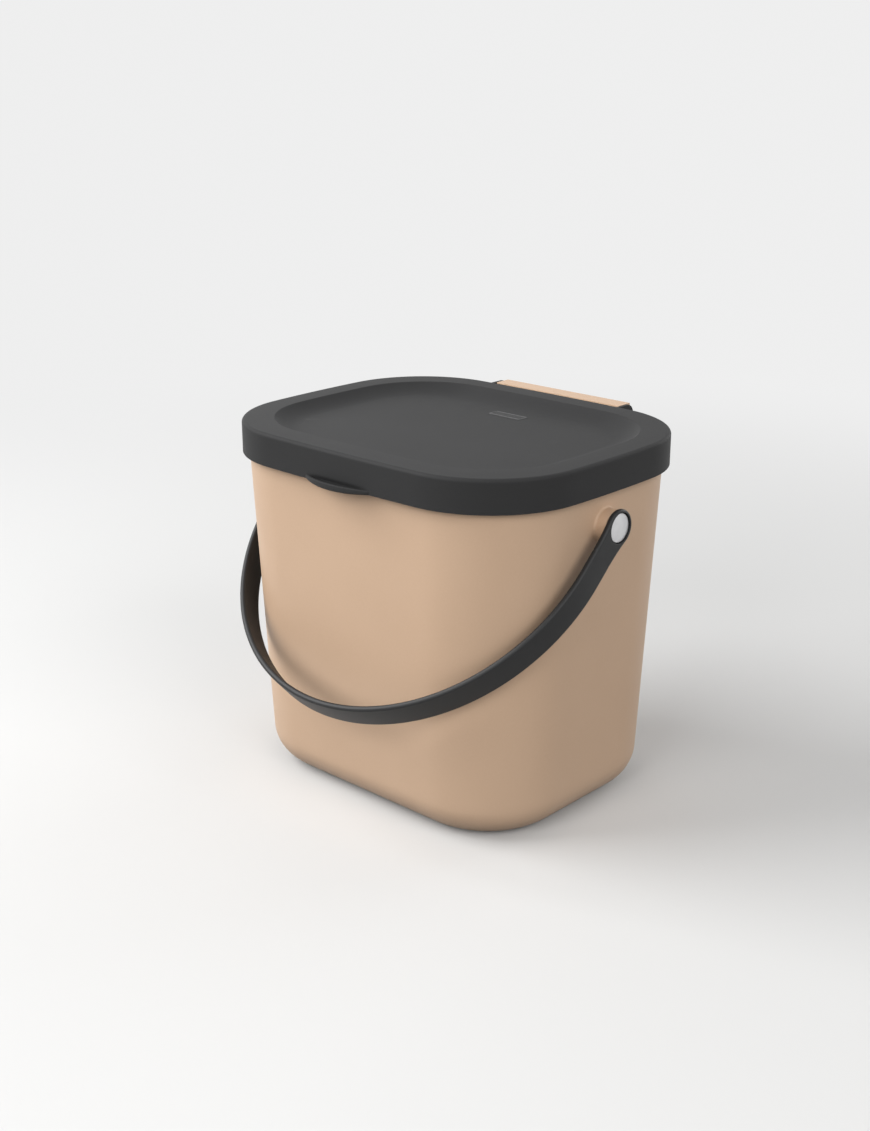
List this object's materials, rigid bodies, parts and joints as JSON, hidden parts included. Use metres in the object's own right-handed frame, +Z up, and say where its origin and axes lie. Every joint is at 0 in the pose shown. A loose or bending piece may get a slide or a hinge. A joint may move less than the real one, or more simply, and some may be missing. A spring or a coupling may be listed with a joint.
{
  "type": "waste bin",
  "caption": "Tapered round-cornered kitchen waste caddy with a rear-hinged dished lid, a front finger lip and a strap handle that swings on side rivets.",
  "frame": {"origin": "middle of the tub's flat underside, on the surface that it stands on", "axes": "+Z up; +X along the handle's pivot line to the right seen from the front; -Y to the front with the finger lip, +Y to the lid's hinge"},
  "size_m": [0.2346, 0.2185, 0.208],
  "materials": {
    "tub_plastic": "fine satin moulded plastic, warm beige",
    "lid_plastic": "fine satin moulded plastic, anthracite grey",
    "handle_plastic": "satin moulded plastic, anthracite grey",
    "rivet_metal": "satin"
  },
  "bodies": {
    "bin": {"bin_body": "tub_plastic", "handle_rivet_left": "rivet_metal", "handle_rivet_right": "rivet_metal", "rivet_washer_left": "rivet_metal", "rivet_washer_right": "rivet_metal"},
    "lid": {"lid": "lid_plastic"},
    "handle": {"handle": "handle_plastic"}
  },
  "joints": [
    {"name": "lid_hinge", "type": "hinge", "parent": "bin", "child": "lid", "pos_m": [0, 0.0976, 0.1965], "axis": [-1, 0, 0], "range_deg": [0, 105]},
    {"name": "handle_swing", "type": "hinge", "parent": "bin", "child": "handle", "pos_m": [0, 0, 0.1706], "axis": [-1, 0, 0], "range_deg": [0, 265]}
  ]
}
